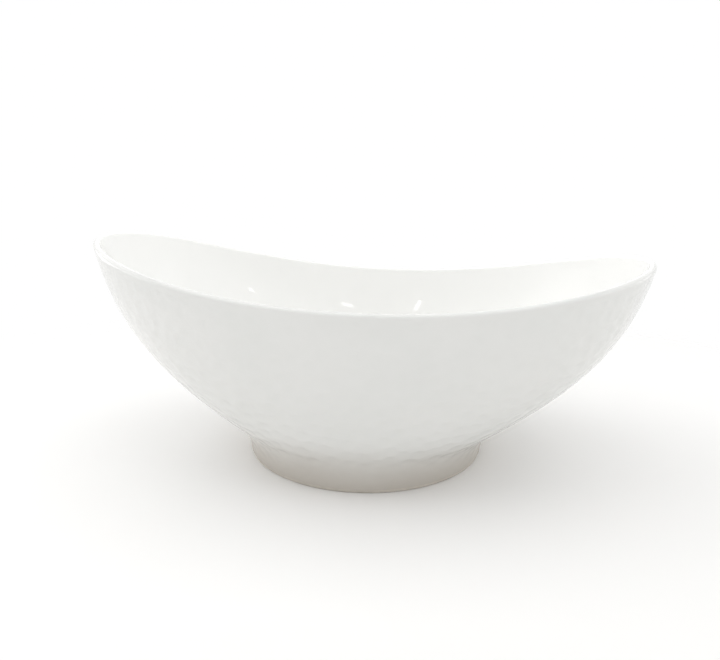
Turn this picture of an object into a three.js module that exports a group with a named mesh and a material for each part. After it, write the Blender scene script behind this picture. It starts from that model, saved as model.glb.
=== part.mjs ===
// An oval porcelain serving bowl: a boat-shaped bowl on a low foot ring, with a saddle-shaped rim
// that climbs to both ends, the left end higher than the right. The bowl and its foot ring are the
// fired porcelain, and three coats of glaze lie on them: the liner inside, the outer coat from the
// crest of the lip to just above the table, and the coat in the hollow under the foot. The edge
// that the bowl stands on is left bare.
// Frame: +Z up, the table at Z = 0, the bowl's length along X, the origin under its middle.
import * as THREE from "three";

// Driving dimensions, in millimetres and degrees. Outer sizes are taken over the glaze.
const LENGTH = 300; // over the rim, end to end
const WIDTH = 190; // over the rim, side to side
const PLAN_POWER = 2.2; // of the rim's oval: 2 is an ellipse, more is squarer
const SIDE_HEIGHT = 96; // the rim's low points, halfway along the two sides
const LEFT_HEIGHT = 124.3; // the rim's crest at the -X end
const RIGHT_HEIGHT = 112.1; // the rim's crest at the +X end
const SADDLE_POWER = 2.05; // how the rim climbs from the sides to the ends
const RIM_THICKNESS = 3.4; // of the round lip, glaze included
const WALL_THICKNESS = 4.8; // where the wall leaves the foot, glaze included
const FLOOR_THICKNESS = 5.5; // in the middle, above the hollow of the foot
const GLAZE = 0.3; // every coat
const FOOT_LENGTH = 137; // over the foot at the table
const FOOT_WIDTH = 130.4;
const FOOT_HEIGHT = 6.5; // from the table to where the wall springs, and the depth of the hollow
const FOOT_RING_WIDTH = 6.2; // the ring at the table, from its outside to its inside
const FOOT_EDGE = 1.3; // radius of the two rounded edges that meet the table
const FOOT_DRAFT = 8.2; // degrees that the foot's outside leans out as it rises
const WELL_DRAFT = 14; // degrees that the hollow's wall leans in as it rises
const BARE_EDGE = 2; // height above the table where the outer and under glaze stop

// The wall's section at the ends of the bowl. A cove turns out of the foot, then one long curve
// climbs to the lip. Everywhere else the same section is squeezed between the foot and the rim.
const COVE = 9.2; // size of the cove
const COVE_FULLNESS = 0.6; // how far its handles reach towards its corner
const WALL_START = 36.4; // degrees above level, where the wall leaves the cove
const WALL_END = 79.6; // degrees above level, at the lip
const START_PULL = 0.37; // lengths of the wall curve's two handles, as shares of its chord
const END_PULL = 0.39;
const FLOOR_STARTS = 0.08; // share of the wall curve where the inside turns away to the floor
const FLOOR_PULL = 0.9; // how far down the inside heads for the floor's level before it bends
const FLOOR_FLATNESS = 0.8; // share of the way in from that bend that is close to level

// How finely the curves are cut into flat facets.
const SEGMENTS = 60; // round the bowl
const COVE_STEPS = 3;
const WALL_STEPS = 6;
const LIP_STEPS = 4;
const FLOOR_STEPS = 4;
const EDGE_STEPS = 3;

const { degToRad, lerp } = THREE.MathUtils;
const FOOT_TOP_LEAN = Math.tan(degToRad(FOOT_DRAFT)) * (FOOT_HEIGHT - FOOT_EDGE);
const FLOOR_LEVEL = FOOT_HEIGHT + FLOOR_THICKNESS;
const COVE_END = 1; // stations along the outside: 0 to 1 is the cove, 1 to 2 is the wall
const LIP = 2;
const SMALL_STEP = 1e-4; // for slopes taken from two near points

// A point of the foot's oval, `out` beyond the oval at the table.
function onFoot(turn, out, height) {
  return new THREE.Vector3(
    (FOOT_LENGTH / 2 + out) * Math.cos(turn),
    (FOOT_WIDTH / 2 + out) * Math.sin(turn),
    height,
  );
}

// How far the foot's straight outside has leaned out at a height.
function footLean(height) {
  return Math.max(0, height - FOOT_EDGE) * Math.tan(degToRad(FOOT_DRAFT));
}

// A point of the rim, where the wall ends and the round of the lip begins.
function onRim(turn) {
  const squash = (value) => Math.sign(value) * Math.abs(value) ** (2 / PLAN_POWER);
  const along = squash(Math.cos(turn));
  const endHeight = (LEFT_HEIGHT + RIGHT_HEIGHT) / 2;
  const climb = (endHeight - SIDE_HEIGHT) * Math.abs(along) ** SADDLE_POWER;
  const slope = ((RIGHT_HEIGHT - LEFT_HEIGHT) / 2) * along;
  return new THREE.Vector3(
    (LENGTH / 2) * along,
    (WIDTH / 2) * squash(Math.sin(turn)),
    SIDE_HEIGHT + climb + slope - RIM_THICKNESS / 2,
  );
}

// The two curves of the end section, measured out and up from the top of the foot.
function sectionCurves() {
  const rim = new THREE.Vector2(
    LENGTH / 2 - FOOT_LENGTH / 2 - FOOT_TOP_LEAN,
    (LEFT_HEIGHT + RIGHT_HEIGHT) / 2 - FOOT_HEIGHT,
  );
  const heading = (degrees) => new THREE.Vector2(Math.cos(degToRad(degrees)), Math.sin(degToRad(degrees)));
  const foot = new THREE.Vector2();
  const up = heading(90 - FOOT_DRAFT);
  const out = heading(WALL_START);
  const corner = up.clone().multiplyScalar(COVE);
  const spring = corner.clone().addScaledVector(out, COVE);
  const chord = spring.distanceTo(rim);
  const cove = new THREE.CubicBezierCurve(
    foot,
    foot.clone().addScaledVector(up, COVE * COVE_FULLNESS),
    spring.clone().addScaledVector(out, -COVE * COVE_FULLNESS),
    spring,
  );
  const wall = new THREE.CubicBezierCurve(
    spring,
    spring.clone().addScaledVector(out, chord * START_PULL),
    rim.clone().addScaledVector(heading(WALL_END), -chord * END_PULL),
    rim,
  );
  return { cove, wall, rim };
}

const SECTION = sectionCurves();

// The point of the outside at a station of the section, on the glaze.
function onOutside(turn, station) {
  const curve = station <= COVE_END ? SECTION.cove : SECTION.wall;
  const share = curve.getPoint(station <= COVE_END ? station : station - COVE_END);
  share.divide(SECTION.rim);
  const foot = onFoot(turn, FOOT_TOP_LEAN, FOOT_HEIGHT);
  const rim = onRim(turn);
  return new THREE.Vector3(
    lerp(foot.x, rim.x, share.x),
    lerp(foot.y, rim.y, share.x),
    lerp(foot.z, rim.z, share.y),
  );
}

// The directions up along the section and square out of the wall.
function directions(turn, station) {
  const below = Math.max(0, station - SMALL_STEP);
  const above = Math.min(LIP, station + SMALL_STEP);
  const up = onOutside(turn, above).sub(onOutside(turn, below)).normalize();
  const round = onOutside(turn + SMALL_STEP, station).sub(onOutside(turn - SMALL_STEP, station));
  const out = round.cross(up).normalize();
  return { up, out };
}

// A point inside the wall, `depth` in from the outside.
function inWall(turn, station, depth) {
  const { out } = directions(turn, station);
  return onOutside(turn, station).addScaledVector(out, -depth);
}

// A point on the lip's half round: 0 is its outer side, 1 its crest and 2 its inner side. The
// porcelain lies `under` the glazed surface.
function onLip(turn, quarter, under) {
  const { up, out } = directions(turn, LIP);
  const radius = RIM_THICKNESS / 2 - under;
  const angle = (quarter * Math.PI) / 2;
  return inWall(turn, LIP, RIM_THICKNESS / 2)
    .addScaledVector(out, radius * Math.cos(angle))
    .addScaledVector(up, radius * Math.sin(angle));
}

// A point of the inside, across the wall from a station. The porcelain lies `under` the glaze.
function onInside(turn, station, under) {
  const thickness = lerp(WALL_THICKNESS, RIM_THICKNESS, station - COVE_END);
  return inWall(turn, station, thickness - under);
}

// The inside of the bowl on its way from the foot of the inner wall to the middle of the floor.
function floorCurve(turn, under) {
  const station = COVE_END + FLOOR_STARTS;
  const start = onInside(turn, station, under);
  const down = start.clone().sub(onInside(turn, station + SMALL_STEP, under));
  const middle = new THREE.Vector3(0, 0, FLOOR_LEVEL - under);
  const bend = start.clone().addScaledVector(down, (FLOOR_PULL * (middle.z - start.z)) / down.z);
  const level = new THREE.Vector3(bend.x, bend.y, middle.z).lerp(middle, 1 - FLOOR_FLATNESS);
  return new THREE.CubicBezierCurve3(start, bend, level, middle);
}

// One ring of points round the bowl, from a function of the turn.
function ring(place) {
  return Array.from({ length: SEGMENTS }, (_, i) => place((i / SEGMENTS) * 2 * Math.PI));
}

// Rings up the outside, from the cove to the lip, `under` the glazed surface.
function outsideRings(under) {
  const rings = [];
  for (let i = 1; i <= COVE_STEPS; i++) {
    rings.push(ring((turn) => inWall(turn, i / COVE_STEPS, under)));
  }
  for (let i = 1; i < WALL_STEPS; i++) {
    rings.push(ring((turn) => inWall(turn, COVE_END + i / WALL_STEPS, under)));
  }
  return rings;
}

// Rings round the lip between two quarters of its half round.
function lipRings(from, to, under) {
  const steps = (LIP_STEPS * (to - from)) / 2;
  return Array.from({ length: steps + 1 }, (_, i) =>
    ring((turn) => onLip(turn, lerp(from, to, i / steps), under)),
  );
}

// Rings down the inside, from just below the lip to the floor, closing on its middle.
function insideRings(under) {
  const rings = [];
  for (let i = WALL_STEPS - 1; i / WALL_STEPS > FLOOR_STARTS; i--) {
    const station = COVE_END + i / WALL_STEPS;
    rings.push(ring((turn) => onInside(turn, station, under)));
  }
  for (let i = 0; i < FLOOR_STEPS; i++) {
    rings.push(ring((turn) => floorCurve(turn, under).getPoint(i / FLOOR_STEPS)));
  }
  rings.push([new THREE.Vector3(0, 0, FLOOR_LEVEL - under)]);
  return rings;
}

// Rings up the outside of the foot from where the glaze stops, `under` the glazed surface.
function footRings(under) {
  return [BARE_EDGE, FOOT_HEIGHT].map((height) =>
    ring((turn) => onFoot(turn, footLean(height) - under, height)),
  );
}

// A ring on the porcelain wall of the hollow under the foot, or `over` it.
function wellRing(height, over) {
  const lean = Math.max(0, height - FOOT_EDGE) * Math.tan(degToRad(WELL_DRAFT));
  return ring((turn) => onFoot(turn, -GLAZE - FOOT_RING_WIDTH - lean - over, height));
}

// Joins rings into a surface. A ring of one point closes an end; otherwise the last ring meets
// the first again. Each four-sided patch is split along its shorter diagonal, so that two pieces
// that share the same points also share the same facets.
function loft(rings) {
  const points = rings.flat();
  const faces = [];
  const closesOnItself = rings[0].length > 1 && rings.at(-1).length > 1;
  let start = 0;
  for (const [r, lower] of rings.entries()) {
    const wraps = r === rings.length - 1;
    const upper = wraps ? rings[0] : rings[r + 1];
    const upperStart = wraps ? 0 : start + lower.length;
    for (let i = 0; i < SEGMENTS && !(wraps && !closesOnItself); i++) {
      const a = start + (i % lower.length);
      const b = start + ((i + 1) % lower.length);
      const c = upperStart + ((i + 1) % upper.length);
      const d = upperStart + (i % upper.length);
      const splitAC = points[a].distanceTo(points[c]) < points[b].distanceTo(points[d]);
      const pair = splitAC ? [[a, b, c], [a, c, d]] : [[a, b, d], [b, c, d]];
      faces.push(...pair.filter((corners) => new Set(corners).size === corners.length).flat());
    }
    start += lower.length;
  }
  const geometry = new THREE.BufferGeometry().setFromPoints(points);
  geometry.setIndex(faces);
  geometry.computeVertexNormals();
  return geometry;
}

// The porcelain of the bowl: its underside, outside, lip, inside and floor.
function bowlBody() {
  return loft([
    [new THREE.Vector3(0, 0, FOOT_HEIGHT)],
    footRings(GLAZE)[1],
    ...outsideRings(GLAZE),
    ...lipRings(0, 2, GLAZE),
    ...insideRings(GLAZE),
  ]);
}

// The porcelain ring that the bowl stands on, with both edges at the table rounded.
function footRing() {
  const edge = (side, i) => {
    const angle = (i / EDGE_STEPS) * (Math.PI / 2);
    const inset = FOOT_EDGE * (1 - Math.sin(angle));
    const height = FOOT_EDGE * (1 - Math.cos(angle));
    const out = side === "outer" ? -inset : inset - FOOT_RING_WIDTH;
    return ring((turn) => onFoot(turn, out - GLAZE, height));
  };
  const steps = Array.from({ length: EDGE_STEPS + 1 }, (_, i) => i);
  return loft([
    ...steps.map((i) => edge("outer", i)),
    ...footRings(GLAZE),
    wellRing(FOOT_HEIGHT, 0),
    wellRing(BARE_EDGE, 0),
    ...steps.reverse().map((i) => edge("inner", i)),
  ]);
}

// The coat poured inside the bowl, from the crest of the lip to the floor.
function innerGlaze() {
  const surface = [...lipRings(1, 2, 0), ...insideRings(0)];
  const back = [...lipRings(1, 2, GLAZE), ...insideRings(GLAZE)];
  return loft([...back.reverse(), ...surface]);
}

// The coat outside the bowl, from just above the table to the crest of the lip.
function outerGlaze() {
  const surface = [...footRings(0), ...outsideRings(0), ...lipRings(0, 1, 0)];
  const back = [...footRings(GLAZE), ...outsideRings(GLAZE), ...lipRings(0, 1, GLAZE)];
  return loft([...surface, ...back.reverse()]);
}

// The coat in the hollow under the foot.
function wellGlaze() {
  return loft([
    [new THREE.Vector3(0, 0, FOOT_HEIGHT - GLAZE)],
    wellRing(FOOT_HEIGHT - GLAZE, GLAZE),
    wellRing(BARE_EDGE, GLAZE),
    wellRing(BARE_EDGE, 0),
    wellRing(FOOT_HEIGHT, 0),
    [new THREE.Vector3(0, 0, FOOT_HEIGHT)],
  ]);
}

const porcelain = new THREE.MeshStandardMaterial({ color: 0xe9e5dc, roughness: 0.75, metalness: 0 });
const glaze = new THREE.MeshStandardMaterial({ color: 0xf6f6f3, roughness: 0.1, metalness: 0 });

function named(name, geometry, material) {
  const mesh = new THREE.Mesh(geometry, material);
  mesh.name = name;
  return mesh;
}

const bowl = new THREE.Group();
bowl.add(
  named("bowl_body", bowlBody(), porcelain),
  named("foot_ring", footRing(), porcelain),
  named("inner_glaze", innerGlaze(), glaze),
  named("outer_glaze", outerGlaze(), glaze),
  named("well_glaze", wellGlaze(), glaze),
);

export default bowl;
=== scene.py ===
"""The looks of a hammered porcelain serving bowl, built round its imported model.

Lengths are in metres and angles in radians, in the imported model's own frame: +Z up, the table at
Z = 0, the bowl's length along X and the origin under its middle. The bowl is described by a turn
round it and by a station up its outside: -1 to 0 is the foot, 0 to 1 is the cove above it and
1 to 2 is the wall, up to the lip.
"""

import math
from functools import lru_cache, partial
from itertools import product
from random import Random
from types import SimpleNamespace
from typing import Callable, NamedTuple

import bmesh
import bpy
import numpy
from bpy.props import FloatProperty, FloatVectorProperty, IntProperty, PointerProperty
from mathutils import Euler, Matrix, Vector, noise
from mathutils.kdtree import KDTree


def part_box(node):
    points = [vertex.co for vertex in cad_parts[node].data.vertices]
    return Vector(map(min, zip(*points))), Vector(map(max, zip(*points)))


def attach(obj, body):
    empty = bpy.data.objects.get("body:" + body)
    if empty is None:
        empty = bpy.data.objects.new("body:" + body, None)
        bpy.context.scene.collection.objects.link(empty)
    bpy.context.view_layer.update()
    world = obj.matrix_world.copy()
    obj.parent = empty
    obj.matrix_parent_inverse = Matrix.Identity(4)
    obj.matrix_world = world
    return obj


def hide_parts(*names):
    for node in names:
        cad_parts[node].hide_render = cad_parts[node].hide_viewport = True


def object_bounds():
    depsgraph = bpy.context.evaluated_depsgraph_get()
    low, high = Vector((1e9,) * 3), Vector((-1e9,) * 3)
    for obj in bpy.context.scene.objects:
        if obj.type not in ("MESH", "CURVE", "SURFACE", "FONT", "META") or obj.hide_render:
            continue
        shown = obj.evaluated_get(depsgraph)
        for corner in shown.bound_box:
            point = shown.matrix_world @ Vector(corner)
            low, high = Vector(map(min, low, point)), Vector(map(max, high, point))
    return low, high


bl_info = {
    "name": "Hammered Serving Bowl",
    "version": (1, 0, 0),
    "blender": (4, 5, 0),
    "location": "3D View > Sidebar > Serving Bowl",
    "description": "Builds an oval porcelain serving bowl, coat by coat, and a plain stage for it",
    "category": "Object",
}

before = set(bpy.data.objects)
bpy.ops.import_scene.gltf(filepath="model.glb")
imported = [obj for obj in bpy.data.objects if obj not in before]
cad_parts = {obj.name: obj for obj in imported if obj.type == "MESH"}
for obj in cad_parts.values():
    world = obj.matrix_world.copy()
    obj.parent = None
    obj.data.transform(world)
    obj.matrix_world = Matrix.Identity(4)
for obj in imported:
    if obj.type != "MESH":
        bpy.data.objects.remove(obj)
CAD_LOW, CAD_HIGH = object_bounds()
FOOT_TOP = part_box("foot_ring")[1].z
BARE_EDGE_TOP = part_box("well_glaze")[0].z
BODY = "root"

# The stations of the outside, where one part of the section meets the next.
FOOT_START = -1.0
COVE_START = 0.0
WALL_START = 1.0
LIP = 2.0

# The quarters of the lip's half round.
LIP_OUTSIDE = 0.0
CREST = 1.0
LIP_INSIDE = 2.0

# The section of the wall at the ends of the bowl. Angles are above level.
COVE_FULLNESS = 0.6  # how far the cove's handles reach towards its corner
WALL_START_ANGLE = math.radians(36.4)
WALL_END_ANGLE = math.radians(79.6)
START_PULL = 0.37  # lengths of the wall curve's two handles, as shares of its chord
END_PULL = 0.39
SADDLE_POWER = 2.05  # how the rim climbs from the sides to the ends
FLOOR_STARTS = 0.08  # share of the wall curve where the inside turns away to the floor
FLOOR_PULL = 0.9  # how far down the inside heads for the floor's level before it bends
FLOOR_FLATNESS = 0.8  # share of the way in from that bend that is close to level
FOOT_DRAFT = math.radians(8.2)  # how far the foot's outside leans out
WELL_DRAFT = math.radians(14)  # how far the hollow's wall leans in
WELL_CORNER = 0.0018  # radius of the glaze gathered in the hollow's corner

# How finely the small parts of a section are divided.
BEAD_STEPS = 4  # the rounded lower edge of a coat
EDGE_STEPS = 8  # the rounded edges of the foot, and the corner of its hollow
SIDE_STEPS = 4  # the straight sides of the foot and of its hollow
CEILING_STEPS = 30  # from the hollow's corner to its middle
FLOOR_GATHERING = 0.8  # below 1, the rings of the floor gather towards its middle
SAMPLES_PER_STATION = 40  # for the places of evenly spaced stations

# Where the marks fade, and how strongly the foot takes them.
FADE_STARTS = 1.2  # below the lip, in lip bands
FADE_ENDS = 0.25
BEAD_FADE = 0.3  # stations above the lower edge of the glaze over which the marks set in
FOOT_HAMMERING = 0.7  # share of the marks' depth on the foot, whose porcelain stays smooth
MARKS = "hammering"  # the attribute that holds how deep in a mark a point lies, 0 to about 1

# How strongly the glaze darkens and warms towards the table: partly thinner glaze over warm clay,
# partly painted shade and painted warm light from the table.
FOOT_THINNING_AND_SHADE = 1.0
WELL_THINNING_AND_SHADE = 0.35
WORN_HEIGHT = 0.0003  # the bare edge is rubbed smoother up to about this height

SMALL_STEP = 2e-3  # for slopes taken from two near points
WELD = 1e-6  # vertices closer than this are one
SHARP_ANGLE = math.radians(50)  # a fold sharper than this is an edge in the shading
CREST_SUPPORT = 0.03  # quarters from the crest to the ring that keeps its shading true

# The sky's brightness, as a share of its greatest, at the sines of some angles above level.
SKY = ((0.34, 0.76), (0.4, 1.0), (0.7, 1.0), (0.8, 0.02))
SKY_BRIGHTNESS = 1.32
FRONT_DIMMING = 0.17  # share by which the sky is darker on the camera's side of the bowl
FRONT_DIMMING_FULL = -0.95  # the direction's Y where the dimming is complete
FRONT_DIMMING_ENDS = -0.2  # and where it has gone
FLOOR_FADE = 0.6  # share of the floor's radius where it starts to fade into the sky

# Each light: its name, azimuth round from the front towards +X and elevation in degrees, its
# distance from the target, its width and height in metres, and its power in watts.
STUDIO_LIGHTS = (
    ("top_softbox", 0.0, 88.0, 1.2, 1.6, 1.2, 9.8),
    ("left_softbox", -90.0, 40.0, 1.2, 0.9, 0.9, 1.2),
    ("left_panel", -90.0, 5.0, 0.9, 0.8, 0.3, 1.1),
    ("right_panel", 95.0, 5.0, 0.9, 0.8, 0.3, 0.5),
    ("front_window", 2.0, 22.0, 1.2, 0.06, 0.035, 0.035),
    ("side_window", 45.0, 32.0, 1.2, 0.05, 0.03, 0.035),
    ("front_strip", -13.0, 21.0, 1.2, 0.028, 0.1, 0.045),
)


class BowlSizes(bpy.types.PropertyGroup):
    """The sizes of the bowl and of the marks beaten into it."""

    length: FloatProperty(
        name="Length",
        description="Over the rim, end to end",
        default=CAD_HIGH.x - CAD_LOW.x,
        unit="LENGTH",
    )
    width: FloatProperty(
        name="Width",
        description="Over the rim, side to side",
        default=CAD_HIGH.y - CAD_LOW.y,
        unit="LENGTH",
    )
    plan_power: FloatProperty(
        name="Plan Power",
        description="Squareness of the rim's oval, where 2 is an ellipse",
        default=2.2,
    )
    side_height: FloatProperty(
        name="Side Height",
        description="The rim's low points, halfway along the two sides",
        default=0.096,
        unit="LENGTH",
    )
    left_height: FloatProperty(
        name="Left Height",
        description="The rim's crest at the -X end",
        default=0.1243,
        unit="LENGTH",
    )
    right_height: FloatProperty(
        name="Right Height",
        description="The rim's crest at the +X end",
        default=0.1121,
        unit="LENGTH",
    )
    rim_thickness: FloatProperty(
        name="Rim Thickness",
        description="Thickness of the round lip, glaze included",
        default=0.0034,
        unit="LENGTH",
    )
    wall_thickness: FloatProperty(
        name="Wall Thickness",
        description="Thickness of the wall where it leaves the foot, glaze included",
        default=0.0048,
        unit="LENGTH",
    )
    floor_thickness: FloatProperty(
        name="Floor Thickness",
        description="Thickness in the middle, above the hollow of the foot",
        default=0.0055,
        unit="LENGTH",
    )
    glaze: FloatProperty(
        name="Glaze",
        description="Thickness of every coat",
        default=0.0003,
        unit="LENGTH",
    )
    foot_height: FloatProperty(
        name="Foot Height",
        description="From the table to where the cove springs",
        default=FOOT_TOP,
        unit="LENGTH",
    )
    foot_length: FloatProperty(
        name="Foot Length",
        description="Over the foot at the table, glaze included",
        default=0.137,
        unit="LENGTH",
    )
    foot_width: FloatProperty(
        name="Foot Width",
        description="Across the foot at the table, glaze included",
        default=0.1304,
        unit="LENGTH",
    )
    ring_width: FloatProperty(
        name="Foot Ring Width",
        description="The ring at the table, from its outside to its inside",
        default=0.0062,
        unit="LENGTH",
    )
    foot_edge: FloatProperty(
        name="Foot Edge",
        description="Radius of the two rounded edges that meet the table",
        default=0.0013,
        unit="LENGTH",
    )
    bare_edge: FloatProperty(
        name="Bare Edge",
        description="Height above the table where the glaze outside and in the hollow stops",
        default=BARE_EDGE_TOP,
        unit="LENGTH",
    )
    cove: FloatProperty(
        name="Cove",
        description="Size of the cove between the foot and the wall",
        default=0.0092,
        unit="LENGTH",
    )
    mark_pitch: FloatProperty(
        name="Mark Pitch",
        description="Least distance between the middles of two hammer marks",
        default=0.0062,
        unit="LENGTH",
    )
    mark_depth: FloatProperty(
        name="Mark Depth",
        description="Depth of a hammer mark below the ridges round it",
        default=0.00026,
        unit="LENGTH",
    )
    lip_step: FloatProperty(
        name="Lip Step",
        description="How far the smooth lip stands proud of the ridges between the marks",
        default=0.00008,
        unit="LENGTH",
    )
    lip_band: FloatProperty(
        name="Lip Band",
        description="Height of the smooth band between the lip and the first marks",
        default=0.0035,
        unit="LENGTH",
    )


class BowlColours(bpy.types.PropertyGroup):
    """The colours of the bowl's clay and glazes, and of the stage."""

    # Painted shade: the outside's glaze is set darker than the inside's, though both are one glaze,
    # to stand for the outside taking less light.
    glaze: FloatVectorProperty(
        name="Glaze",
        description="The white glaze where it lies evenly",
        subtype="COLOR",
        size=3,
        min=0.0,
        max=1.0,
        default=(0.74, 0.74, 0.722),
    )
    # Painted light: the inside's glaze is set lighter than the outside's, though both are one
    # glaze, to stand for the inside taking more light.
    liner_glaze: FloatVectorProperty(
        name="Liner Glaze",
        description="The whiter glaze of the inside",
        subtype="COLOR",
        size=3,
        min=0.0,
        max=1.0,
        default=(0.87, 0.87, 0.852),
    )
    pooled_glaze: FloatVectorProperty(
        name="Pooled Glaze",
        description="The glaze where it gathers in a mark or a corner",
        subtype="COLOR",
        size=3,
        min=0.0,
        max=1.0,
        default=(0.71, 0.717, 0.697),
    )
    # Painted shade: this dark warm colour stands partly for thinner glaze over warm clay and partly
    # for the shade and warm table light low on the foot.
    thin_glaze_and_painted_shade: FloatVectorProperty(
        name="Thin Glaze And Painted Shade",
        description="The glaze low on the foot, where the warm clay shows through",
        subtype="COLOR",
        size=3,
        min=0.0,
        max=1.0,
        default=(0.46, 0.427, 0.382),
    )
    bisque: FloatVectorProperty(
        name="Bisque",
        description="The bare fired porcelain",
        subtype="COLOR",
        size=3,
        min=0.0,
        max=1.0,
        default=(0.52, 0.48, 0.42),
    )
    floor: FloatVectorProperty(
        name="Floor",
        description="The floor under the bowl",
        subtype="COLOR",
        size=3,
        min=0.0,
        max=1.0,
        default=(0.9, 0.895, 0.885),
    )


class StageSizes(bpy.types.PropertyGroup):
    """The camera's place, and how bright the stage is."""

    distance: FloatProperty(
        name="Camera Distance",
        description="From the camera to its target on the bowl's axis",
        default=0.31,
        unit="LENGTH",
    )
    target_height: FloatProperty(
        name="Target Height",
        description="Height of the target above the table",
        default=0.05,
        unit="LENGTH",
    )
    azimuth: FloatProperty(
        name="Azimuth",
        description="How far the camera has gone round the bowl from its front",
        default=math.radians(6.47),
        subtype="ANGLE",
    )
    elevation: FloatProperty(
        name="Elevation",
        description="Height of the camera above the target, as an angle",
        default=math.radians(15.73),
        subtype="ANGLE",
    )
    pitch: FloatProperty(
        name="Pitch",
        description="How far below level the camera looks",
        default=math.radians(12.37),
        subtype="ANGLE",
    )
    pan: FloatProperty(
        name="Pan",
        description="How far the camera is turned to the left of the bowl's axis",
        default=math.radians(0.63),
        subtype="ANGLE",
    )
    lens: FloatProperty(
        name="Lens",
        description="Focal length of the camera, in millimetres",
        default=26.0,
    )
    floor_radius: FloatProperty(
        name="Floor Radius",
        description="Radius of the round floor",
        default=0.5,
        unit="LENGTH",
    )
    brightness: FloatProperty(
        name="Brightness",
        description="Share of the full brightness that every light has",
        default=1.0,
    )
    floor_segments: IntProperty(
        name="Floor Segments",
        description="Segments round the edge of the floor",
        default=96,
    )


def plain_values(group):
    """A property group's values as plain numbers, which are quicker to read in a long loop."""
    names = [name for name in group.bl_rna.properties.keys() if name not in ("rna_type", "name")]
    return SimpleNamespace(**{name: getattr(group, name) for name in names})


def blend(first, second, share):
    """The number that lies a share of the way from the first to the second."""
    return first + (second - first) * share


def ease(value, start, end):
    """0 up to the start, 1 from the end on, and a smooth climb between them."""
    share = min(1.0, max(0.0, (value - start) / (end - start)))
    return share * share * (3.0 - 2.0 * share)


def quarter_turn(steps):
    """Even angles from 0 to a right angle, with both."""
    return [step / steps * math.pi / 2 for step in range(steps + 1)]


def heading(angle):
    """A direction out and up, at an angle above level."""
    return Vector((math.cos(angle), math.sin(angle)))


def on_bezier(points, share):
    """The point of a cubic curve at a share of its parameter."""
    rest = 1.0 - share
    start, first, second, end = points
    return (
        start * rest**3
        + first * (3.0 * rest**2 * share)
        + second * (3.0 * rest * share**2)
        + end * share**3
    )


def at_middle(turn, height):
    """The point on the bowl's axis at a height, which is the same for every turn."""
    return Vector((0.0, 0.0, height))


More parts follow.
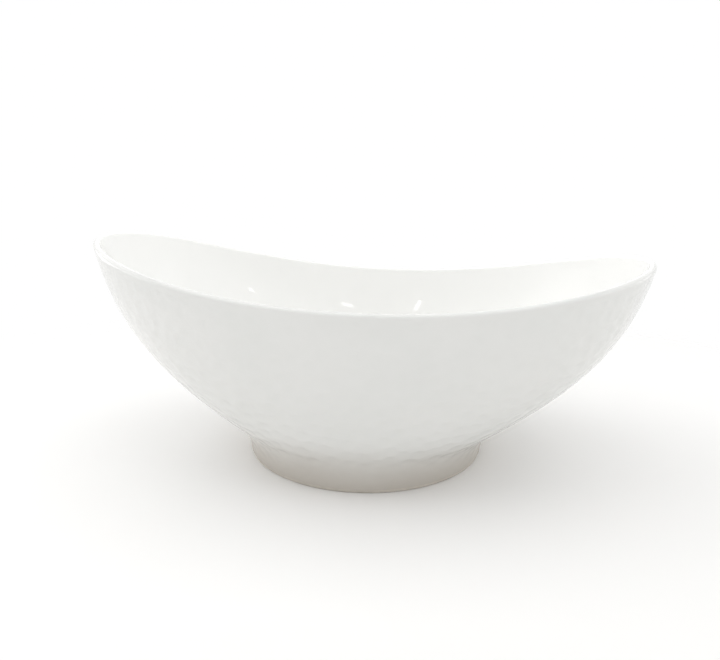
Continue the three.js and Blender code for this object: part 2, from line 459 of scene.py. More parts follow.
class BowlShape:
    """Where the surfaces of the bowl lie."""

    def __init__(self, sizes):
        self.size = plain_values(sizes)
        self.foot_lean = math.tan(FOOT_DRAFT) * (self.size.foot_height - self.size.foot_edge)
        self.cove_curve, self.wall_curve, self.reach = self.section_curves()

    def section_curves(self):
        """The cove and the wall of the end section, measured from the top of the foot."""
        size = self.size
        reach = Vector((
            size.length / 2 - size.foot_length / 2 - self.foot_lean,
            (size.left_height + size.right_height) / 2 - size.foot_height,
        ))
        up = heading(math.pi / 2 - FOOT_DRAFT) * size.cove
        out = heading(WALL_START_ANGLE) * size.cove
        spring = up + out
        chord = (reach - spring).length
        cove = (Vector((0.0, 0.0)), up * COVE_FULLNESS, spring - out * COVE_FULLNESS, spring)
        wall = (
            spring,
            spring + heading(WALL_START_ANGLE) * (chord * START_PULL),
            reach - heading(WALL_END_ANGLE) * (chord * END_PULL),
            reach,
        )
        return cove, wall, reach

    def on_foot(self, turn, out, height):
        """A point of the foot's oval, some way out from the oval at the table."""
        size = self.size
        return Vector((
            (size.foot_length / 2 + out) * math.cos(turn),
            (size.foot_width / 2 + out) * math.sin(turn),
            height,
        ))

    def on_foot_side(self, turn, height, depth):
        """A point on the outside of the foot, at a depth below the glaze."""
        lean = math.tan(FOOT_DRAFT) * max(0.0, height - self.size.foot_edge)
        return self.on_foot(turn, lean - depth, height)

    def on_well_side(self, turn, height, over):
        """A point on the wall of the hollow under the foot, at a distance over its porcelain."""
        size = self.size
        lean = math.tan(WELL_DRAFT) * max(0.0, height - size.foot_edge)
        return self.on_foot(turn, -size.glaze - size.ring_width - lean - over, height)

    @lru_cache(maxsize=None)
    def foot_top(self, turn):
        """Where the outside of the foot meets the cove."""
        return self.on_foot_side(turn, self.size.foot_height, 0.0)

    @lru_cache(maxsize=None)
    def rim(self, turn):
        """Where the wall meets the round of the lip."""
        size = self.size

        def squared(value):
            return math.copysign(abs(value) ** (2.0 / size.plan_power), value)

        along = squared(math.cos(turn))
        end_height = (size.left_height + size.right_height) / 2
        climb = (end_height - size.side_height) * abs(along) ** SADDLE_POWER
        slope = (size.right_height - size.left_height) / 2 * along
        return Vector((
            size.length / 2 * along,
            size.width / 2 * squared(math.sin(turn)),
            size.side_height + climb + slope - size.rim_thickness / 2,
        ))

    @lru_cache(maxsize=None)
    def share_of_reach(self, station):
        """How far out and how far up a station lies, as shares of the way from foot to rim."""
        if station <= WALL_START:
            point = on_bezier(self.cove_curve, station - COVE_START)
        else:
            point = on_bezier(self.wall_curve, station - WALL_START)
        return point.x / self.reach.x, point.y / self.reach.y

    def outside(self, turn, station):
        """The point of the outside at a station, on the glaze."""
        if station < COVE_START:
            height = blend(self.size.foot_height, self.size.bare_edge, COVE_START - station)
            return self.on_foot_side(turn, height, 0.0)
        out, up = self.share_of_reach(station)
        foot = self.foot_top(turn)
        rim = self.rim(turn)
        return Vector((
            blend(foot.x, rim.x, out),
            blend(foot.y, rim.y, out),
            blend(foot.z, rim.z, up),
        ))

    @lru_cache(maxsize=None)
    def directions(self, turn, station):
        """The directions up along the section and square out of the wall."""
        below = self.outside(turn, max(FOOT_START, station - SMALL_STEP))
        above = self.outside(turn, min(LIP, station + SMALL_STEP))
        before = self.outside(turn - SMALL_STEP, station)
        after = self.outside(turn + SMALL_STEP, station)
        up = (above - below).normalized()
        return up, (after - before).cross(up).normalized()

    def in_wall(self, turn, station, depth):
        """A point in the wall, at a depth from the outside."""
        _, out = self.directions(turn, station)
        return self.outside(turn, station) - out * depth

    def on_lip(self, turn, quarter, depth):
        """A point of the lip's half round, from 0 outside over 1 at its crest to 2 inside."""
        up, out = self.directions(turn, LIP)
        centre_depth = self.size.rim_thickness / 2
        radius = centre_depth - depth
        angle = quarter * math.pi / 2
        centre = self.outside(turn, LIP) - out * centre_depth
        return centre + out * (radius * math.cos(angle)) + up * (radius * math.sin(angle))

    def inside(self, turn, station, depth):
        """A point of the inside, across the wall from a station, at a depth below the glaze."""
        size = self.size
        thickness = blend(size.wall_thickness, size.rim_thickness, station - WALL_START)
        return self.in_wall(turn, station, thickness - depth)

    @lru_cache(maxsize=None)
    def floor_curve(self, turn, depth):
        """The inside from the foot of its wall to the middle of the floor."""
        size = self.size
        station = WALL_START + FLOOR_STARTS
        start = self.inside(turn, station, depth)
        down = start - self.inside(turn, station + SMALL_STEP, depth)
        middle = Vector((0.0, 0.0, size.foot_height + size.floor_thickness - depth))
        bend = start + down * (FLOOR_PULL * (middle.z - start.z) / down.z)
        level = Vector((bend.x, bend.y, middle.z)).lerp(middle, 1.0 - FLOOR_FLATNESS)
        return start, bend, level, middle

    def on_floor(self, turn, share, depth):
        """A point of the inside, a share of the way from its wall to the middle of the floor."""
        return on_bezier(self.floor_curve(turn, depth), share)

    def even_stations(self, start, end, count):
        """Stations at even distances up the end section, with the first and the last."""
        fine = numpy.linspace(start, end, SAMPLES_PER_STATION * count)
        points = numpy.array([self.outside(0.0, station) for station in fine])
        steps = numpy.linalg.norm(numpy.diff(points, axis=0), axis=1)
        along = numpy.concatenate(([0.0], numpy.cumsum(steps)))
        even = numpy.linspace(0.0, along[-1], count + 1)
        return [float(station) for station in numpy.interp(even, along, fine)]


class Ring(NamedTuple):
    """One ring of a surface: where its points lie, and how much of the hammering it takes."""

    place: Callable
    hammered: float = 0.0


def spin_rings(rings, segments, closed):
    """Spins a strip of vertices, one for each ring, and puts each vertex in its ring's place.

    The strip is spun a quarter turn, and the quarter is copied round, which is far quicker.
    """
    bm = bmesh.new()
    number_of = bm.verts.layers.int.new("ring")
    strip = []
    for number, ring in enumerate(rings):
        vert = bm.verts.new(ring.place(0.0))
        vert[number_of] = number
        strip.append(vert)
    pairs = list(zip(strip, strip[1:]))
    if closed:
        pairs.append((strip[-1], strip[0]))
    bmesh.ops.spin(
        bm,
        geom=strip + [bm.edges.new(pair) for pair in pairs],
        cent=(0.0, 0.0, 0.0),
        axis=(0.0, 0.0, 1.0),
        angle=math.tau / 4,
        steps=segments // 4,
    )
    for angle in (math.tau / 4, math.tau / 2):
        whole = bm.verts[:] + bm.edges[:] + bm.faces[:]
        copies = bmesh.ops.duplicate(bm, geom=whole)["geom"]
        verts = [element for element in copies if isinstance(element, bmesh.types.BMVert)]
        turned = Matrix.Rotation(angle, 3, "Z")
        bmesh.ops.rotate(bm, verts=verts, cent=(0.0, 0.0, 0.0), matrix=turned)
    step = math.tau / segments
    for vert in bm.verts:
        turn = round(math.atan2(vert.co.y, vert.co.x) / step) * step
        vert.co = rings[vert[number_of]].place(turn)
    bmesh.ops.remove_doubles(bm, verts=bm.verts, dist=WELD)
    bmesh.ops.recalc_face_normals(bm, faces=bm.faces)
    return bm


class Hammering:
    """Shallow round marks all over the outside, each a dish that meets the next in a soft ridge.

    The marks keep their distance from each other in a space that is drawn out up and down near
    the foot, so that they are wider there than they are high.
    """

    SEED = 7
    THROWS = 40000
    NEIGHBOURS = 6
    UNEVENNESS = 0.35  # of the marks' depths, as a share of the depth
    RIDGE_SOFTNESS = 0.09  # as a share of the depth
    RIDGE_DISTANCE = 0.62  # of the ridges from a mark's middle, as a share of the pitch
    DEEPEST = 1.2  # the most that depth_at gives, in the middle of a deep mark
    LEAST_SUM = 1e-30  # keeps the logarithm finite far from every mark
    FOOT_DRAWING_OUT = 0.9
    FOOT_DRAWING_OUT_ENDS = 0.02  # height above the table

    def __init__(self, shape):
        self.size = shape.size
        random = Random(self.SEED)
        reach = self.size.mark_pitch
        struck = {}
        neighbours = list(product((-1, 0, 1), repeat=3))
        for _ in range(self.THROWS):
            turn = random.uniform(0.0, math.tau)
            station = random.uniform(FOOT_START, LIP)
            spot = self.drawn_out(shape.outside(turn, station))
            cell = tuple(int(value // reach) for value in spot)
            close = (
                other
                for shift in neighbours
                for other in struck.get(tuple(a + b for a, b in zip(cell, shift)), ())
            )
            if all((other - spot).length >= reach for other in close):
                struck.setdefault(cell, []).append(spot)
        spots = [spot for cell in struck.values() for spot in cell]
        self.offsets = [random.uniform(-0.5, 0.5) * self.UNEVENNESS for _ in spots]
        self.tree = KDTree(len(spots))
        for number, spot in enumerate(spots):
            self.tree.insert(spot, number)
        self.tree.balance()

    def drawn_out(self, place):
        """A place in the space where the marks keep their distance."""
        below = max(0.0, self.FOOT_DRAWING_OUT_ENDS - place.z)
        extra = self.FOOT_DRAWING_OUT * below * below / self.FOOT_DRAWING_OUT_ENDS / 2
        return Vector((place.x, place.y, place.z - extra))

    def depth_at(self, place):
        """How deep in a mark a place lies, from about 0 on a ridge to about 1 in a middle."""
        ridge = self.size.mark_pitch * self.RIDGE_DISTANCE
        total = 0.0
        for _, number, distance in self.tree.find_n(self.drawn_out(place), self.NEIGHBOURS):
            rise = (distance / ridge) ** 2 + self.offsets[number]
            total += math.exp(-rise / self.RIDGE_SOFTNESS)
        rise = -math.log(max(total, self.LEAST_SUM)) * self.RIDGE_SOFTNESS
        return min(self.DEEPEST, max(0.0, 1.0 - rise))


def hammer(bm, rings, marks):
    """Beats the marks into the rings that take them, and notes their depth for the finish."""
    number_of = bm.verts.layers.int["ring"]
    depth_of = bm.verts.layers.float.new(MARKS)
    size = marks.size
    bm.normal_update()
    for vert in bm.verts:
        hammered = rings[vert[number_of]].hammered
        if hammered > 0.0:
            depth = marks.depth_at(vert.co) * hammered
            vert[depth_of] = depth
            vert.co -= vert.normal * (depth * size.mark_depth + hammered * size.lip_step)


def ripple(bm, height, pitch):
    """Gives a surface the slight unevenness of pressed clay."""
    bm.normal_update()
    for vert in bm.verts:
        vert.co += vert.normal * (noise.noise(vert.co / pitch) * height)


class Number:
    """A number on a node's socket, for maths written as an expression."""

    def __init__(self, finish, socket):
        self.finish = finish
        self.socket = socket

    def joined(self, operation, *values):
        """The outcome of one maths node."""
        made = self.finish.node("ShaderNodeMath", {"operation": operation}, dict(enumerate(values)))
        return Number(self.finish, made.outputs[0])

    def __add__(self, other):
        return self.joined("ADD", self, other)

    def __sub__(self, other):
        return self.joined("SUBTRACT", self, other)

    def __rsub__(self, other):
        return self.joined("SUBTRACT", other, self)

    def __mul__(self, other):
        return self.joined("MULTIPLY", self, other)


def in_use(sockets, name):
    """The socket of that name, or at that number, that the node's settings leave in use."""
    if isinstance(name, int):
        return sockets[name]
    return next(socket for socket in sockets if socket.name == name and socket.enabled)


class Finish:
    """A node tree in the making."""

    def __init__(self, tree):
        self.tree = tree
        self.tree.nodes.clear()

    def node(self, kind, settings, values):
        """Adds a node, with its settings first and then the values or links of its sockets."""
        made = self.tree.nodes.new(kind)
        for name, setting in settings.items():
            if name == "stops":
                self.set_stops(made.color_ramp, setting)
            else:
                setattr(made, name, setting)
        for name, value in values.items():
            socket = in_use(made.inputs, name)
            source = value.socket if isinstance(value, Number) else value
            if isinstance(source, bpy.types.NodeSocket):
                self.tree.links.new(source, socket)
            else:
                socket.default_value = source
        return made

    def set_stops(self, ramp, stops):
        """Gives a colour ramp its stops, each a place and a colour."""
        while len(ramp.elements) < len(stops):
            ramp.elements.new(1.0)
        for element, (place, colour) in zip(ramp.elements, stops):
            element.position = place
            element.color = colour

    def place(self):
        """The place on the object, in metres."""
        return self.node("ShaderNodeTexCoord", {}, {}).outputs["Object"]

    def height(self):
        """The height above the table."""
        parts = self.node("ShaderNodeSeparateXYZ", {}, {"Vector": self.place()})
        return Number(self, parts.outputs["Z"])

    def cloud(self, size, detail=2.0, roughness=0.5):
        """Soft noise from 0 to 1 with patches of about that size."""
        values = {
            "Vector": self.place(),
            "Scale": 1.0 / size,
            "Detail": detail,
            "Roughness": roughness,
        }
        return Number(self, self.node("ShaderNodeTexNoise", {}, values).outputs["Fac"])

    def attribute(self, name):
        """A number kept on the points of the mesh."""
        made = self.node("ShaderNodeAttribute", {"attribute_name": name}, {})
        return Number(self, made.outputs["Fac"])

    def ramp(self, value, start, end, low=0.0, high=1.0):
        """A smooth climb from low to high while the value goes from start to end."""
        settings = {"interpolation_type": "SMOOTHSTEP"}
        values = {"Value": value, "From Min": start, "From Max": end, "To Min": low, "To Max": high}
        return Number(self, self.node("ShaderNodeMapRange", settings, values).outputs["Result"])

    def mix(self, share, first, second):
        """A colour between two, at a share of the way."""
        values = {"Factor": share, "A": first, "B": second}
        made = self.node("ShaderNodeMix", {"data_type": "RGBA"}, values)
        return in_use(made.outputs, "Result")

    def orange_peel(self, fine, coarse, distance):
        """The normal of glaze that has set in fine dimples over coarser ones."""
        dimples = self.cloud(fine, detail=1.0) + self.cloud(coarse, detail=1.0) * 2.0
        return self.bump(dimples, distance)

    def bump(self, height, distance):
        """The normal of a surface raised by the height, times a distance in metres."""
        values = {"Height": height, "Distance": distance, "Strength": 1.0}
        return self.node("ShaderNodeBump", {}, values).outputs["Normal"]

    def surface(self, values):
        """Ends the tree with a principled surface."""
        shader = self.node("ShaderNodeBsdfPrincipled", {}, values)
        self.node("ShaderNodeOutputMaterial", {}, {"Surface": shader.outputs["BSDF"]})


def new_finish(name):
    """A new material, and the finish to build in it."""
    material = bpy.data.materials.new(name)
    material.use_nodes = True
    return material, Finish(material.node_tree)


def opaque(colour):
    """A colour property as the four numbers that a socket takes."""
    return (*colour, 1.0)


def darker(colour, share):
    """A colour with each channel brought down to a share of itself."""
    return tuple(channel * share for channel in colour)


def white_glaze_finish(name, colours, thinning_and_painted_shade):
    """White glaze that gathers in the marks and darkens and warms towards the table.

    The darkening is partly thinner glaze over warm clay and partly painted shade and painted
    warm light from the table. The second argument sets how strong it is at the table, from 0 for
    not at all to 1.
    """
    material, finish = new_finish(name)
    marks = finish.attribute(MARKS)
    clouds = finish.cloud(size=0.035, detail=3.0)
    pooled = finish.ramp(marks, 0.0, 1.0) * 0.1 + finish.ramp(clouds, 0.35, 0.7) * 0.45
    uneven_height = finish.height() + clouds * 0.006
    # Painted shade: the glaze colour darkens and warms towards the table, partly for thinner glaze
    # and partly for shade and warm light from the table.
    thin_and_painted_shade = finish.ramp(uneven_height, start=0.002, end=0.038, low=thinning_and_painted_shade, high=0.0)
    colour = finish.mix(pooled, opaque(colours.glaze), opaque(colours.pooled_glaze))
    colour = finish.mix(thin_and_painted_shade * 0.95, colour, opaque(colours.thin_glaze_and_painted_shade))
    finish.surface({
        "Base Color": colour,
        "Roughness": finish.ramp(clouds, 0.3, 0.7, low=0.3, high=0.36) + thin_and_painted_shade * 0.12,
        "Specular IOR Level": 0.0,
        "Coat Weight": 1.0 - thin_and_painted_shade * 0.4,
        "Coat Roughness": 0.07,
        "Coat IOR": 1.5,
        "Normal": finish.orange_peel(fine=0.0016, coarse=0.006, distance=0.000005),
    })
    return material


def liner_glaze_finish(colours):
    """The smooth, glossier glaze of the inside."""
    material, finish = new_finish("liner_glaze")
    clouds = finish.cloud(size=0.05, detail=3.0)
    pooled = finish.ramp(clouds, 0.35, 0.7) * 0.5
    # Painted light: this base colour is lighter than the outside's glaze to stand for the light the
    # inside takes.
    shade = opaque(darker(colours.liner_glaze, 0.97))
    colour = finish.mix(pooled, opaque(colours.liner_glaze), shade)
    finish.surface({
        "Base Color": colour,
        "Roughness": finish.ramp(clouds, 0.3, 0.7, low=0.29, high=0.33),
        "Specular IOR Level": 0.0,
        "Coat Weight": 1.0,
        "Coat Roughness": 0.045,
        "Coat IOR": 1.5,
        "Normal": finish.orange_peel(fine=0.002, coarse=0.009, distance=0.000004),
    })
    return material


def bisque_finish(name, colours):
    """Bare fired porcelain: matt and fine-grained, and worn smoother where it meets the table."""
    material, finish = new_finish(name)
    mottling = finish.cloud(size=0.008, detail=4.0, roughness=0.6)
    grain = finish.cloud(size=0.0004, detail=2.0)
    uneven_height = finish.height() + mottling * WORN_HEIGHT
    worn = finish.ramp(uneven_height, WORN_HEIGHT, WORN_HEIGHT * 2, low=1.0, high=0.0)
    dark = darker(colours.bisque, 0.86)
    colour = finish.mix(finish.ramp(mottling, 0.3, 0.75), opaque(colours.bisque), opaque(dark))
    colour = finish.mix(grain * 0.12, colour, opaque(colours.glaze))
    colour = finish.mix(worn * 0.35, colour, opaque(darker(dark, 0.8)))
    finish.surface({
        "Base Color": colour,
        "Roughness": finish.ramp(grain, 0.3, 0.7, low=0.72, high=0.84) - worn * 0.2,
        "IOR": 1.5,
        "Normal": finish.bump(grain + mottling * 0.6, distance=0.00003),
    })
    return material


def add_piece(name, bm, material, node):
    """Makes a piece of a finished surface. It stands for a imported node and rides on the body."""
    for face in bm.faces:
        face.smooth = True
    for edge in bm.edges:
        edge.smooth = edge.calc_face_angle(0.0) < SHARP_ANGLE
    mesh = bpy.data.meshes.new(name)
    bm.to_mesh(mesh)
    bm.free()
    mesh.materials.append(material)
    piece = bpy.data.objects.new(name, mesh)
    bpy.context.scene.collection.objects.link(piece)
    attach(piece, BODY)
    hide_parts(node)
    return piece


def lip_rings(shape, start, end, steps, depth):
    """Rings round the lip between two quarters, with one close to the crest to support it."""
    quarters = [blend(start, end, step / steps) for step in range(steps + 1)]
    if start == CREST:
        quarters.insert(1, start + math.copysign(CREST_SUPPORT, end - start))
    if end == CREST:
        quarters.insert(-1, end + math.copysign(CREST_SUPPORT, start - end))
    return [Ring(partial(shape.on_lip, quarter=quarter, depth=depth)) for quarter in quarters]


def hammering_at(size, station):
    """How much of the hammering a station takes. It fades towards the lip and down the foot."""
    band = size.lip_band / (size.length - size.foot_length)  # roughly, in stations
    below_lip = 1.0 - ease(station, LIP - FADE_STARTS * band, LIP - FADE_ENDS * band)
    above_bead = ease(station, FOOT_START, FOOT_START + BEAD_FADE)
    above_foot = blend(FOOT_HAMMERING, 1.0, ease(station, COVE_START, WALL_START))
    return below_lip * above_bead * above_foot


def hammered_rings(shape, stations):
    """Rings up the glaze that take the marks."""
    return [
        Ring(partial(shape.in_wall, station=station, depth=0.0), hammering_at(shape.size, station))
        for station in stations
    ]


def rings_under_marks(shape, stations):
    """Rings up the clay under the glaze, pressed in as deep as the marks go."""
    size = shape.size
    rings = []
    for station in stations:
        pressed = (size.mark_depth + size.lip_step) * hammering_at(size, station)
        rings.append(Ring(partial(shape.in_wall, station=station, depth=size.glaze + pressed)))
    return rings


def inside_rings(shape, wall_steps, floor_steps, depth):
    """Rings down the inside, from just under the lip to the middle of the floor."""
    foot_of_wall = WALL_START + FLOOR_STARTS
    stations = shape.even_stations(foot_of_wall, LIP, wall_steps)
    wall = [Ring(partial(shape.inside, station=s, depth=depth)) for s in stations[-2:0:-1]]
    shares = [(step / floor_steps) ** FLOOR_GATHERING for step in range(floor_steps + 1)]
    floor = [Ring(partial(shape.on_floor, share=share, depth=depth)) for share in shares]
    return wall + floor


def round_target(azimuth, elevation):
    """The direction from the target to something that has gone round it from the front."""
    level = math.cos(elevation)
    return Vector((math.sin(azimuth) * level, -math.cos(azimuth) * level, math.sin(elevation)))


class ServingBowlOperator:
    """What the bowl's operators have in common."""

    bl_options = {"REGISTER", "UNDO"}


class SERVINGBOWL_OT_body(ServingBowlOperator, bpy.types.Operator):
    """Press the porcelain of the bowl: its underside, outside, lip, inside and floor"""

    bl_idname = "serving_bowl.body"
    bl_label = "Porcelain Body"

    def execute(self, context):
        shape = BowlShape(context.scene.serving_bowl_sizes)
        size = shape.size
        rings = [
            Ring(partial(at_middle, height=size.foot_height)),
            *rings_under_marks(shape, shape.even_stations(COVE_START, LIP, count=90)[:-1]),
            *lip_rings(shape, LIP_OUTSIDE, LIP_INSIDE, steps=12, depth=size.glaze),
            *inside_rings(shape, wall_steps=60, floor_steps=20, depth=size.glaze),
        ]
        bm = spin_rings(rings, segments=320, closed=False)
        material = bisque_finish("porcelain_body", context.scene.serving_bowl_colours)
        add_piece("porcelain_body", bm, material, "bowl_body")
        return {"FINISHED"}


class SERVINGBOWL_OT_foot(ServingBowlOperator, bpy.types.Operator):
    """Turn the foot ring that the bowl stands on, with both edges at the table rounded"""

    bl_idname = "serving_bowl.foot"
    bl_label = "Foot Ring"

    def execute(self, context):
        shape = BowlShape(context.scene.serving_bowl_sizes)
        size = shape.size
        angles = quarter_turn(EDGE_STEPS)

        def edge(angle, outside):
            inset = size.foot_edge * (1.0 - math.sin(angle))
            out = -inset if outside else inset - size.ring_width
            height = size.foot_edge * (1.0 - math.cos(angle))
            return Ring(partial(shape.on_foot, out=out - size.glaze, height=height))

        shares = [step / SIDE_STEPS for step in range(1, SIDE_STEPS + 1)]
        heights = [blend(size.foot_edge, size.foot_height, share) for share in shares]
        outer = [edge(angle, outside=True) for angle in angles]
        outer += [Ring(partial(shape.on_foot_side, height=h, depth=size.glaze)) for h in heights]
        inner = [edge(angle, outside=False) for angle in angles]
        inner += [Ring(partial(shape.on_well_side, height=h, over=0.0)) for h in heights]
        bm = spin_rings(outer + inner[::-1], segments=360, closed=True)
        material = bisque_finish("bare_foot_ring", context.scene.serving_bowl_colours)
        add_piece("foot_ring_bisque", bm, material, "foot_ring")
        return {"FINISHED"}


class SERVINGBOWL_OT_liner(ServingBowlOperator, bpy.types.Operator):
    """Pour the smooth coat of glaze inside the bowl, up to the crest of the lip"""

    bl_idname = "serving_bowl.liner"
    bl_label = "Liner Glaze"

    def execute(self, context):
        shape = BowlShape(context.scene.serving_bowl_sizes)
        size = shape.size
        front = lip_rings(shape, CREST, LIP_INSIDE, steps=9, depth=0.0)
        front += inside_rings(shape, wall_steps=90, floor_steps=40, depth=0.0)
        back = lip_rings(shape, CREST, LIP_INSIDE, steps=4, depth=size.glaze)
        back += inside_rings(shape, wall_steps=24, floor_steps=8, depth=size.glaze)
        bm = spin_rings(back[::-1] + front, segments=560, closed=False)
        material = liner_glaze_finish(context.scene.serving_bowl_colours)
        add_piece("liner_glaze_coat", bm, material, "inner_glaze")
        return {"FINISHED"}


class SERVINGBOWL_OT_outer_glaze(ServingBowlOperator, bpy.types.Operator):
    """Dip the outside, from just above the table to the crest of the lip, over hammered clay"""

    bl_idname = "serving_bowl.outer_glaze"
    bl_label = "Hammered Outer Glaze"

    def execute(self, context):
        shape = BowlShape(context.scene.serving_bowl_sizes)
        size = shape.size
        bead = []
        for angle in quarter_turn(BEAD_STEPS)[:-1]:
            depth = size.glaze * (1.0 - math.sin(angle))
            height = size.bare_edge + size.glaze * (1.0 - math.cos(angle))
            bead.append(Ring(partial(shape.on_foot_side, height=height, depth=depth)))
        bead_top = FOOT_START + size.glaze / (size.foot_height - size.bare_edge)
        wall = hammered_rings(shape, shape.even_stations(bead_top, LIP, count=146)[:-1])
        front = bead + wall + lip_rings(shape, LIP_OUTSIDE, CREST, steps=8, depth=0.0)
        behind = shape.even_stations(bead_top, WALL_START, count=12)[1:-1]
        behind += shape.even_stations(WALL_START, LIP, count=12)[:-1]
        back = rings_under_marks(shape, behind)
        back += lip_rings(shape, LIP_OUTSIDE, CREST, steps=2, depth=size.glaze)
        rings = front + back[::-1]
        bm = spin_rings(rings, segments=528, closed=True)
        hammer(bm, rings, Hammering(shape))
        colours = context.scene.serving_bowl_colours
        material = white_glaze_finish("hammered_outer_glaze", colours, FOOT_THINNING_AND_SHADE)
        add_piece("hammered_glaze_coat", bm, material, "outer_glaze")
        return {"FINISHED"}


class SERVINGBOWL_OT_well_glaze(ServingBowlOperator, bpy.types.Operator):
    """Coat the hollow under the foot, with the glaze gathered in its corner"""

    bl_idname = "serving_bowl.well_glaze"
    bl_label = "Well Glaze"

    def execute(self, context):
        shape = BowlShape(context.scene.serving_bowl_sizes)
        size = shape.size
        ceiling = size.foot_height - size.glaze
        corner_low = ceiling - WELL_CORNER

        def in_corner(turn, angle):
            side = shape.on_well_side(turn, corner_low, size.glaze)
            inward = Vector((-side.x, -side.y, 0.0)).normalized()
            lift = Vector((0.0, 0.0, WELL_CORNER * math.sin(angle)))
            return side + inward * (WELL_CORNER * (1.0 - math.cos(angle))) + lift

        def towards_middle(turn, share):
            return in_corner(turn, math.pi / 2).lerp(at_middle(turn, ceiling), share)

        behind = [
            Ring(partial(at_middle, height=size.foot_height)),
            Ring(partial(shape.on_well_side, height=size.foot_height, over=0.0)),
        ]
        bead = []
        for angle in quarter_turn(BEAD_STEPS)[:-1]:
            over = size.glaze * math.sin(angle)
            height = size.bare_edge + size.glaze * (1.0 - math.cos(angle))
            bead.append(Ring(partial(shape.on_well_side, height=height, over=over)))
        bead_top = size.bare_edge + size.glaze
        heights = [blend(bead_top, corner_low, step / SIDE_STEPS) for step in range(SIDE_STEPS)]
        side = [Ring(partial(shape.on_well_side, height=h, over=size.glaze)) for h in heights]
        corner = [Ring(partial(in_corner, angle=angle)) for angle in quarter_turn(EDGE_STEPS)]
        shares = [step / CEILING_STEPS for step in range(1, CEILING_STEPS + 1)]
        top = [Ring(partial(towards_middle, share=share)) for share in shares]
        bm = spin_rings(behind + bead + side + corner + top, segments=320, closed=False)
        ripple(bm, height=0.00004, pitch=0.018)
        colours = context.scene.serving_bowl_colours
        material = white_glaze_finish("well_glaze", colours, WELL_THINNING_AND_SHADE)
        add_piece("well_glaze_coat", bm, material, "well_glaze")
        return {"FINISHED"}


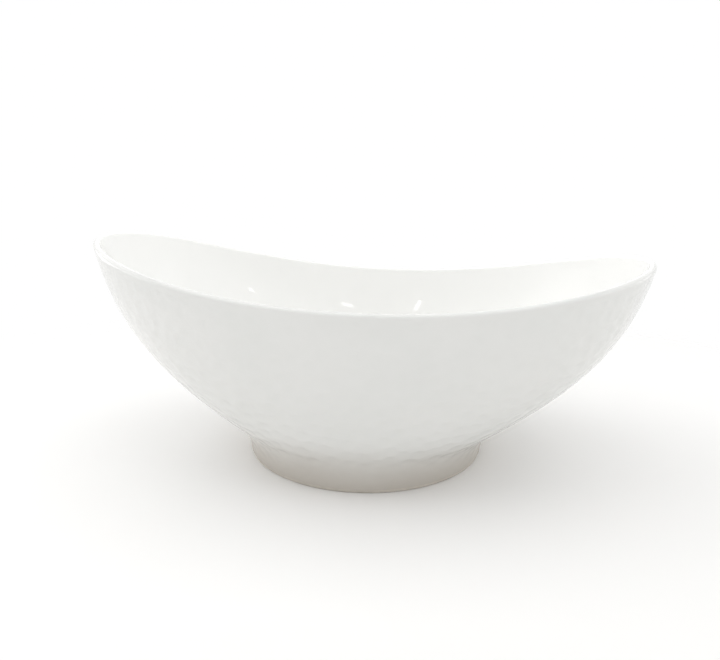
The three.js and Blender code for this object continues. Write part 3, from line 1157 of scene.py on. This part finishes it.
class SERVINGBOWL_OT_stage(ServingBowlOperator, bpy.types.Operator):
    """Lay a plain pale floor, light it softly and set the camera"""

    bl_idname = "serving_bowl.stage"
    bl_label = "Stage"

    def execute(self, context):
        scene = context.scene
        stage = scene.serving_bowl_stage
        self.lay_floor(scene, stage, scene.serving_bowl_colours)
        self.light(scene, stage)
        self.set_camera(scene, stage)
        scene.view_settings.view_transform = "Standard"
        return {"FINISHED"}

    def lay_floor(self, scene, stage, colours):
        """Lays a round sheet of paper that fades out towards its edge."""
        bm = bmesh.new()
        bmesh.ops.create_circle(
            bm,
            cap_ends=True,
            cap_tris=False,
            segments=stage.floor_segments,
            radius=stage.floor_radius,
        )
        mesh = bpy.data.meshes.new("floor")
        bm.to_mesh(mesh)
        bm.free()
        material, finish = new_finish("floor_paper")
        paper = finish.cloud(size=0.12, detail=3.0)
        away = finish.node("ShaderNodeVectorMath", {"operation": "LENGTH"}, {0: finish.place()})
        radius = Number(finish, away.outputs["Value"])
        pale = opaque(colours.floor)
        shade = opaque(darker(colours.floor, 0.98))
        fade_start = stage.floor_radius * FLOOR_FADE
        finish.surface({
            "Base Color": finish.mix(paper, pale, shade),
            "Roughness": finish.ramp(paper, 0.3, 0.7, low=0.85, high=0.95),
            "Specular IOR Level": 0.2,
            "Alpha": finish.ramp(radius, fade_start, stage.floor_radius, low=1.0, high=0.0),
        })
        mesh.materials.append(material)
        floor = bpy.data.objects.new("floor", mesh)
        scene.collection.objects.link(floor)

    def light(self, scene, stage):
        """Hangs the sky and the studio's lights."""
        world = bpy.data.worlds.new("studio")
        world.use_nodes = True
        finish = Finish(world.node_tree)
        direction = finish.node("ShaderNodeTexCoord", {}, {}).outputs["Generated"]
        parts = finish.node("ShaderNodeSeparateXYZ", {}, {"Vector": direction})
        settings = {"stops": [(rise, (share, share, share, 1.0)) for rise, share in SKY]}
        sky = finish.node("ShaderNodeValToRGB", settings, {"Fac": parts.outputs["Z"]})
        backward = Number(finish, parts.outputs["Y"])
        front = finish.ramp(
            backward, FRONT_DIMMING_FULL, FRONT_DIMMING_ENDS, low=FRONT_DIMMING, high=0.0
        )
        colour = finish.mix(front, sky.outputs["Color"], (0.0, 0.0, 0.0, 1.0))
        values = {"Color": colour, "Strength": SKY_BRIGHTNESS * stage.brightness}
        shader = finish.node("ShaderNodeBackground", {}, values)
        finish.node("ShaderNodeOutputWorld", {}, {"Surface": shader.outputs["Background"]})
        scene.world = world
        target = Vector((0.0, 0.0, stage.target_height))
        for name, azimuth, elevation, distance, width, height, power in STUDIO_LIGHTS:
            light = bpy.data.lights.new(name, "AREA")
            light.shape = "RECTANGLE"
            light.size = width
            light.size_y = height
            light.energy = power * stage.brightness
            lamp = bpy.data.objects.new(name, light)
            scene.collection.objects.link(lamp)
            away = round_target(math.radians(azimuth), math.radians(elevation))
            lamp.location = target + away * distance
            lamp.rotation_euler = away.to_track_quat("Z", "Y").to_euler()

    def set_camera(self, scene, stage):
        """Sets up the camera at its place on the stage."""
        camera = bpy.data.cameras.new("camera")
        camera.lens = stage.lens
        camera.sensor_fit = "HORIZONTAL"
        viewer = bpy.data.objects.new("camera", camera)
        scene.collection.objects.link(viewer)
        target = Vector((0.0, 0.0, stage.target_height))
        viewer.location = target + round_target(stage.azimuth, stage.elevation) * stage.distance
        viewer.rotation_euler = Euler((math.pi / 2 - stage.pitch, 0.0, stage.azimuth + stage.pan))
        scene.camera = viewer


class SERVINGBOWL_PT_panel(bpy.types.Panel):
    """The bowl's sizes, colours and operators in the sidebar of the 3D view"""

    bl_idname = "SERVINGBOWL_PT_panel"
    bl_label = "Serving Bowl"
    bl_space_type = "VIEW_3D"
    bl_region_type = "UI"
    bl_category = "Serving Bowl"

    def draw(self, context):
        layout = self.layout
        scene = context.scene
        groups = (scene.serving_bowl_sizes, scene.serving_bowl_colours, scene.serving_bowl_stage)
        for group in groups:
            box = layout.box()
            for name in vars(plain_values(group)):
                box.prop(group, name)
        for operator in OPERATORS:
            layout.operator(operator.bl_idname)


OPERATORS = (
    SERVINGBOWL_OT_stage,
    SERVINGBOWL_OT_body,
    SERVINGBOWL_OT_foot,
    SERVINGBOWL_OT_liner,
    SERVINGBOWL_OT_outer_glaze,
    SERVINGBOWL_OT_well_glaze,
)
GROUPS = {
    "serving_bowl_sizes": BowlSizes,
    "serving_bowl_colours": BowlColours,
    "serving_bowl_stage": StageSizes,
}


def register():
    for group in GROUPS.values():
        bpy.utils.register_class(group)
    for name, group in GROUPS.items():
        setattr(bpy.types.Scene, name, PointerProperty(type=group))
    for operator in OPERATORS:
        bpy.utils.register_class(operator)
    bpy.utils.register_class(SERVINGBOWL_PT_panel)


def unregister():
    bpy.utils.unregister_class(SERVINGBOWL_PT_panel)
    for operator in reversed(OPERATORS):
        bpy.utils.unregister_class(operator)
    for name, group in reversed(GROUPS.items()):
        delattr(bpy.types.Scene, name)
        bpy.utils.unregister_class(group)


def main():
    register()
    bpy.ops.serving_bowl.stage()
    bpy.ops.serving_bowl.body()
    bpy.ops.serving_bowl.foot()
    bpy.ops.serving_bowl.liner()
    bpy.ops.serving_bowl.outer_glaze()
    bpy.ops.serving_bowl.well_glaze()


if __name__ == "__main__":
    main()
